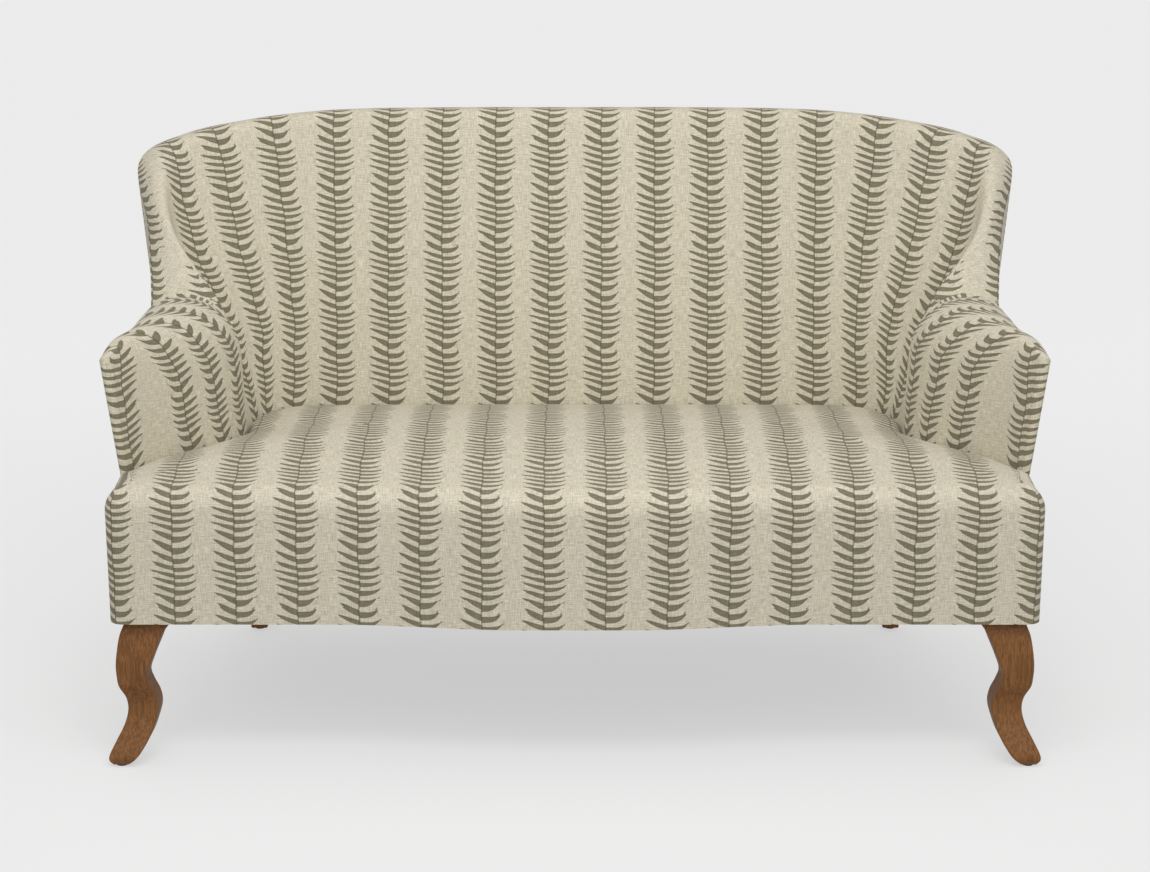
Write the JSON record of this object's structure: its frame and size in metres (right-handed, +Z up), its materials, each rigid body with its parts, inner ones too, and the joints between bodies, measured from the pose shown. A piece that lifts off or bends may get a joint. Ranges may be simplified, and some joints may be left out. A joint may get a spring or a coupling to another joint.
{
  "type": "high back settee",
  "caption": "Upholstered high back settee: curved back, wings and flared rolled arms over a bowed sprung seat, on cabriole front legs and raked rear legs.",
  "frame": {"origin": "on the floor under the middle of the bounding box", "axes": "+X along the settee, to the right as seen from the front, +Y from the seat's front to its back, +Z up"},
  "size_m": [1.5458, 0.801, 0.9842],
  "materials": {
    "rail_wood": "planed",
    "spring_steel": "oiled",
    "clip_steel": "zinc plated",
    "webbing": "woven",
    "foam": "open cell",
    "cover": "woven with a printed leafy stripe",
    "felt": "felted",
    "dust_cloth": "non-woven",
    "leg_wood": "satin varnish",
    "glide_plastic": "matt"
  },
  "bodies": {
    "root": {"front_seat_rail": "rail_wood", "rear_seat_rail": "rail_wood", "left_side_rail": "rail_wood", "right_side_rail": "rail_wood", "rear_corner_rails": "rail_wood", "front_corner_blocks": "rail_wood", "centre_seat_rail": "rail_wood", "back_top_rail": "rail_wood", "left_wing_rail": "rail_wood", "right_wing_rail": "rail_wood", "left_arm_top_rail": "rail_wood", "right_arm_top_rail": "rail_wood", "back_formers": "rail_wood", "left_wing_former": "rail_wood", "right_wing_former": "rail_wood", "left_arm_formers": "rail_wood", "right_arm_formers": "rail_wood", "seat_springs": "spring_steel", "spring_clips": "clip_steel", "spring_cloth": "webbing", "back_webbing": "webbing", "arm_webbing": "webbing", "seat_foam": "foam", "back_foam": "foam", "left_arm_foam": "foam", "right_arm_foam": "foam", "seat_cover": "cover", "inside_back_cover": "cover", "left_inside_arm_cover": "cover", "right_inside_arm_cover": "cover", "outside_back_cover": "cover", "left_outside_arm_cover": "cover", "right_outside_arm_cover": "cover", "front_rail_felt": "felt", "dust_cover": "dust_cloth", "left_front_leg": "leg_wood", "right_front_leg": "leg_wood", "rear_legs": "leg_wood", "leg_bolts": "clip_steel", "glides": "glide_plastic"}
  },
  "joints": []
}
